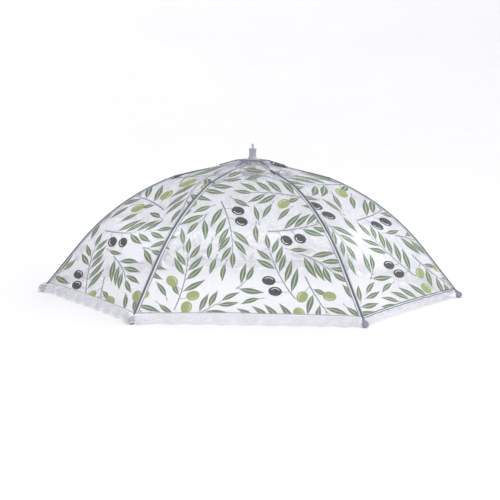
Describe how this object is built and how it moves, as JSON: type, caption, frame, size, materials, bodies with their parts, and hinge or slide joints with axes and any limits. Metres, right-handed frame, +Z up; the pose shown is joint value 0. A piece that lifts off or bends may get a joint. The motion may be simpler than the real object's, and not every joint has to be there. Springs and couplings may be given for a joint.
{
  "type": "folding mesh food cover",
  "caption": "Six-sided folding mesh food cover with a domed canopy on wire ribs, a lace hem and a sliding runner that locks it open.",
  "frame": {"origin": "on the table, under the middle of the crown", "axes": "+X towards the right rib, -Y towards the front panel, +Z up"},
  "size_m": [0.6604, 0.5732, 0.2361],
  "materials": {
    "printed_mesh": "fine see-through polyester mesh with a printed olive branch pattern",
    "white_lace": "soft white lace trim",
    "white_tape": "white woven tape",
    "coated_wire": "grey coated steel wire, satin",
    "bright_steel": "bright drawn steel",
    "charcoal_plastic": "dark moulded plastic",
    "dark_grey_plastic": "dark grey moulded plastic",
    "light_grey_plastic": "light grey moulded plastic, satin"
  },
  "bodies": {
    "crown": {"crown": "dark_grey_plastic", "crown_ring": "bright_steel", "spindle": "light_grey_plastic", "top_cap": "light_grey_plastic", "panel_right_back": "printed_mesh", "panel_back": "printed_mesh", "panel_left_back": "printed_mesh", "panel_left_front": "printed_mesh", "panel_front": "printed_mesh", "panel_right_front": "printed_mesh", "lace_right_back": "white_lace", "lace_back": "white_lace", "lace_left_back": "white_lace", "lace_left_front": "white_lace", "lace_front": "white_lace", "lace_right_front": "white_lace"},
    "runner": {"runner": "dark_grey_plastic", "runner_ring": "bright_steel"},
    "rib_right": {"rib_right": "coated_wire", "joint_clip_right": "bright_steel", "sleeve_right": "white_tape", "tip_cap_right": "charcoal_plastic"},
    "stretcher_right": {"stretcher_right": "coated_wire", "rivet_right": "bright_steel"},
    "rib_back_right": {"rib_back_right": "coated_wire", "joint_clip_back_right": "bright_steel", "sleeve_back_right": "white_tape", "tip_cap_back_right": "charcoal_plastic"},
    "stretcher_back_right": {"stretcher_back_right": "coated_wire", "rivet_back_right": "bright_steel"},
    "rib_back_left": {"rib_back_left": "coated_wire", "joint_clip_back_left": "bright_steel", "sleeve_back_left": "white_tape", "tip_cap_back_left": "charcoal_plastic"},
    "stretcher_back_left": {"stretcher_back_left": "coated_wire", "rivet_back_left": "bright_steel"},
    "rib_left": {"rib_left": "coated_wire", "joint_clip_left": "bright_steel", "sleeve_left": "white_tape", "tip_cap_left": "charcoal_plastic"},
    "stretcher_left": {"stretcher_left": "coated_wire", "rivet_left": "bright_steel"},
    "rib_front_left": {"rib_front_left": "coated_wire", "joint_clip_front_left": "bright_steel", "sleeve_front_left": "white_tape", "tip_cap_front_left": "charcoal_plastic"},
    "stretcher_front_left": {"stretcher_front_left": "coated_wire", "rivet_front_left": "bright_steel"},
    "rib_front_right": {"rib_front_right": "coated_wire", "joint_clip_front_right": "bright_steel", "sleeve_front_right": "white_tape", "tip_cap_front_right": "charcoal_plastic"},
    "stretcher_front_right": {"stretcher_front_right": "coated_wire", "rivet_front_right": "bright_steel"}
  },
  "joints": [
    {"name": "runner_slide", "type": "slide", "parent": "crown", "child": "runner", "axis": [0, 0, -1], "range_m": [0, 0.1754], "deforming": ["panel_right_back", "panel_back", "panel_left_back", "panel_left_front", "panel_front", "panel_right_front", "lace_right_back", "lace_back", "lace_left_back", "lace_left_front", "lace_front", "lace_right_front"]},
    {"name": "rib_fold_right", "type": "hinge", "parent": "crown", "child": "rib_right", "pos_m": [0.017, 0, 0.20579], "axis": [0, 1, 0], "range_deg": [0, 53.3]},
    {"name": "stretcher_swing_right", "type": "hinge", "parent": "runner", "child": "stretcher_right", "pos_m": [0.01249, 0.0036, 0.19014], "axis": [0, -1, 0], "range_deg": [0, 69.9]},
    {"name": "rib_fold_back_right", "type": "hinge", "parent": "crown", "child": "rib_back_right", "pos_m": [0.0085, 0.01472, 0.20579], "axis": [-0.866, 0.5, 0], "range_deg": [0, 53.3]},
    {"name": "stretcher_swing_back_right", "type": "hinge", "parent": "runner", "child": "stretcher_back_right", "pos_m": [0.00313, 0.01262, 0.19014], "axis": [0.866, -0.5, 0], "range_deg": [0, 69.9]},
    {"name": "rib_fold_back_left", "type": "hinge", "parent": "crown", "child": "rib_back_left", "pos_m": [-0.0085, 0.01472, 0.20579], "axis": [-0.866, -0.5, 0], "range_deg": [0, 53.3]},
    {"name": "stretcher_swing_back_left", "type": "hinge", "parent": "runner", "child": "stretcher_back_left", "pos_m": [-0.00936, 0.00902, 0.19014], "axis": [0.866, 0.5, 0], "range_deg": [0, 69.9]},
    {"name": "rib_fold_left", "type": "hinge", "parent": "crown", "child": "rib_left", "pos_m": [-0.017, 0, 0.20579], "axis": [0, -1, 0], "range_deg": [0, 53.3]},
    {"name": "stretcher_swing_left", "type": "hinge", "parent": "runner", "child": "stretcher_left", "pos_m": [-0.01249, -0.0036, 0.19014], "axis": [0, 1, 0], "range_deg": [0, 69.9]},
    {"name": "rib_fold_front_left", "type": "hinge", "parent": "crown", "child": "rib_front_left", "pos_m": [-0.0085, -0.01472, 0.20579], "axis": [0.866, -0.5, 0], "range_deg": [0, 53.3]},
    {"name": "stretcher_swing_front_left", "type": "hinge", "parent": "runner", "child": "stretcher_front_left", "pos_m": [-0.00313, -0.01262, 0.19014], "axis": [-0.866, 0.5, 0], "range_deg": [0, 69.9]},
    {"name": "rib_fold_front_right", "type": "hinge", "parent": "crown", "child": "rib_front_right", "pos_m": [0.0085, -0.01472, 0.20579], "axis": [0.866, 0.5, 0], "range_deg": [0, 53.3]},
    {"name": "stretcher_swing_front_right", "type": "hinge", "parent": "runner", "child": "stretcher_front_right", "pos_m": [0.00936, -0.00902, 0.19014], "axis": [-0.866, -0.5, 0], "range_deg": [0, 69.9]}
  ],
  "couplings": [
    {"joint": "rib_fold_right", "follows": "runner_slide", "rad_per_m": 5.2998},
    {"joint": "stretcher_swing_right", "follows": "runner_slide", "rad_per_m": 6.954},
    {"joint": "rib_fold_back_right", "follows": "runner_slide", "rad_per_m": 5.2998},
    {"joint": "stretcher_swing_back_right", "follows": "runner_slide", "rad_per_m": 6.954},
    {"joint": "rib_fold_back_left", "follows": "runner_slide", "rad_per_m": 5.2998},
    {"joint": "stretcher_swing_back_left", "follows": "runner_slide", "rad_per_m": 6.954},
    {"joint": "rib_fold_left", "follows": "runner_slide", "rad_per_m": 5.2998},
    {"joint": "stretcher_swing_left", "follows": "runner_slide", "rad_per_m": 6.954},
    {"joint": "rib_fold_front_left", "follows": "runner_slide", "rad_per_m": 5.2998},
    {"joint": "stretcher_swing_front_left", "follows": "runner_slide", "rad_per_m": 6.954},
    {"joint": "rib_fold_front_right", "follows": "runner_slide", "rad_per_m": 5.2998},
    {"joint": "stretcher_swing_front_right", "follows": "runner_slide", "rad_per_m": 6.954}
  ]
}
